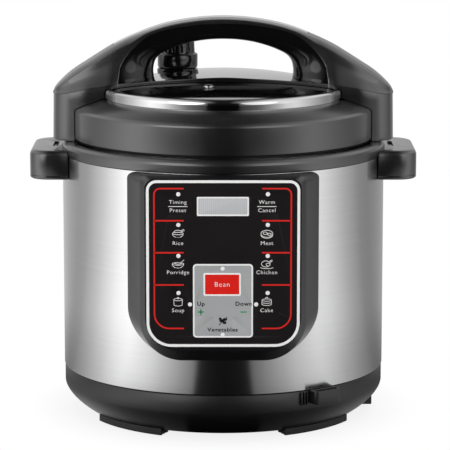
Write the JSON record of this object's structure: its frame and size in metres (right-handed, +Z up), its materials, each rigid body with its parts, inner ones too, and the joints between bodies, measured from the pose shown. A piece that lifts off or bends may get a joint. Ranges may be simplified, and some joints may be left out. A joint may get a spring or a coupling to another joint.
{
  "type": "electric pressure cooker",
  "caption": "Round electric pressure cooker with a steel shell, a locking lid under an arched carrying handle, side ears, arc feet and a flat button panel at the front.",
  "frame": {"origin": "on the floor under the centre of the body, which is the bottom centre of the bounding box", "axes": "+X to the right ear seen from the front, -Y out of the control panel, +Z up along the body's axis"},
  "size_m": [0.338, 0.3, 0.3504],
  "materials": {
    "shell_steel": "satin, brushed around the body",
    "lid_chrome": "polished",
    "bright_steel": "bright",
    "pot_aluminium": "satin",
    "black_plastic": "satin",
    "gloss_black": "gloss",
    "grey_plastic": "satin",
    "red_plastic": "gloss",
    "clear_plastic": "translucent",
    "circuit_board": "coated",
    "silicone": "matte",
    "foot_rubber": "matte"
  },
  "bodies": {
    "base_unit": {"outer_shell": "shell_steel", "base_housing": "black_plastic", "foot_front_left": "foot_rubber", "foot_front_right": "foot_rubber", "foot_rear_left": "foot_rubber", "foot_rear_right": "foot_rubber", "upper_ring": "black_plastic", "drip_trough": "black_plastic", "side_handle_left": "black_plastic", "side_handle_right": "black_plastic", "pressure_pot": "pot_aluminium", "heating_plate": "pot_aluminium", "heating_element": "bright_steel", "sensor_seat": "pot_aluminium", "sensor_spring": "bright_steel", "pressure_switch": "black_plastic", "power_board": "circuit_board", "control_board": "circuit_board", "display_module": "grey_plastic", "panel_surround": "black_plastic", "control_film": "gloss_black", "display_window": "clear_plastic", "centre_plate": "grey_plastic", "light_guide": "clear_plastic", "power_inlet": "black_plastic", "spoon_holder": "black_plastic", "condensate_spout": "black_plastic"},
    "sensor": {"sensor_probe": "pot_aluminium"},
    "cup": {"condensation_cup": "clear_plastic"},
    "pot": {"inner_pot": "pot_aluminium"},
    "seal": {"sealing_ring": "silicone", "seal_rack": "bright_steel"},
    "lid": {"lid_cover": "black_plastic", "steel_lid": "lid_chrome", "locking_ring": "lid_chrome", "handle_shell": "black_plastic", "handle_grip": "gloss_black", "handle_inlay": "gloss_black", "handle_bridge": "black_plastic", "handle_seat_left": "black_plastic", "handle_seat_right": "black_plastic", "vent_pipe": "bright_steel", "anti_block_shield": "bright_steel"},
    "valve_knob": {"exhaust_valve": "black_plastic"},
    "float_pin": {"float_valve": "bright_steel", "float_seal": "silicone"},
    "timing_preset": {"key_timing_preset": "gloss_black"},
    "rice": {"key_rice": "gloss_black"},
    "porridge": {"key_porridge": "gloss_black"},
    "soup": {"key_soup": "gloss_black"},
    "warm_cancel": {"key_warm_cancel": "gloss_black"},
    "meat": {"key_meat": "gloss_black"},
    "chicken": {"key_chicken": "gloss_black"},
    "cake": {"key_cake": "gloss_black"},
    "bean": {"key_bean": "red_plastic"},
    "up": {"key_up": "grey_plastic"},
    "down": {"key_down": "grey_plastic"},
    "vegetables": {"key_vegetables": "grey_plastic"}
  },
  "joints": [
    {"name": "lid_lift", "type": "slide", "parent": "base_unit", "child": "seal", "axis": [0, 0, 1], "range_m": [0, 0.15]},
    {"name": "lid_turn", "type": "hinge", "parent": "seal", "child": "lid", "pos_m": [0, 0, 0.25], "axis": [0, 0, 1], "range_deg": [0, 30]},
    {"name": "valve_turn", "type": "hinge", "parent": "lid", "child": "valve_knob", "pos_m": [-0.0409, 0.041, 0.3005], "axis": [0, 0, 1], "range_deg": [0, 90]},
    {"name": "float_rise", "type": "slide", "parent": "lid", "child": "float_pin", "axis": [0, 0, 1], "range_m": [0, 0.005]},
    {"name": "pot_turn", "type": "hinge", "parent": "base_unit", "child": "pot", "pos_m": [0, 0, 0.083], "axis": [0, 0, 1], "continuous": true},
    {"name": "sensor_press", "type": "slide", "parent": "base_unit", "child": "sensor", "axis": [0, 0, 1], "range_m": [-0.003, 0], "stiffness_N_per_m": 400, "springref_m": 0.001, "deforming": ["sensor_spring"]},
    {"name": "cup_pull", "type": "slide", "parent": "base_unit", "child": "cup", "axis": [0, 1, 0], "range_m": [0, 0.03]},
    {"name": "press_timing_preset", "type": "slide", "parent": "base_unit", "child": "timing_preset", "axis": [0, 1, 0], "range_m": [0, 0.0005], "stiffness_N_per_m": 600},
    {"name": "press_rice", "type": "slide", "parent": "base_unit", "child": "rice", "axis": [0, 1, 0], "range_m": [0, 0.0005], "stiffness_N_per_m": 600},
    {"name": "press_porridge", "type": "slide", "parent": "base_unit", "child": "porridge", "axis": [0, 1, 0], "range_m": [0, 0.0005], "stiffness_N_per_m": 600},
    {"name": "press_soup", "type": "slide", "parent": "base_unit", "child": "soup", "axis": [0, 1, 0], "range_m": [0, 0.0005], "stiffness_N_per_m": 600},
    {"name": "press_warm_cancel", "type": "slide", "parent": "base_unit", "child": "warm_cancel", "axis": [0, 1, 0], "range_m": [0, 0.0005], "stiffness_N_per_m": 600},
    {"name": "press_meat", "type": "slide", "parent": "base_unit", "child": "meat", "axis": [0, 1, 0], "range_m": [0, 0.0005], "stiffness_N_per_m": 600},
    {"name": "press_chicken", "type": "slide", "parent": "base_unit", "child": "chicken", "axis": [0, 1, 0], "range_m": [0, 0.0005], "stiffness_N_per_m": 600},
    {"name": "press_cake", "type": "slide", "parent": "base_unit", "child": "cake", "axis": [0, 1, 0], "range_m": [0, 0.0005], "stiffness_N_per_m": 600},
    {"name": "press_bean", "type": "slide", "parent": "base_unit", "child": "bean", "axis": [0, 1, 0], "range_m": [0, 0.0005], "stiffness_N_per_m": 600},
    {"name": "press_up", "type": "slide", "parent": "base_unit", "child": "up", "axis": [0, 1, 0], "range_m": [0, 0.0005], "stiffness_N_per_m": 600},
    {"name": "press_down", "type": "slide", "parent": "base_unit", "child": "down", "axis": [0, 1, 0], "range_m": [0, 0.0005], "stiffness_N_per_m": 600},
    {"name": "press_vegetables", "type": "slide", "parent": "base_unit", "child": "vegetables", "axis": [0, 1, 0], "range_m": [0, 0.0005], "stiffness_N_per_m": 600}
  ]
}
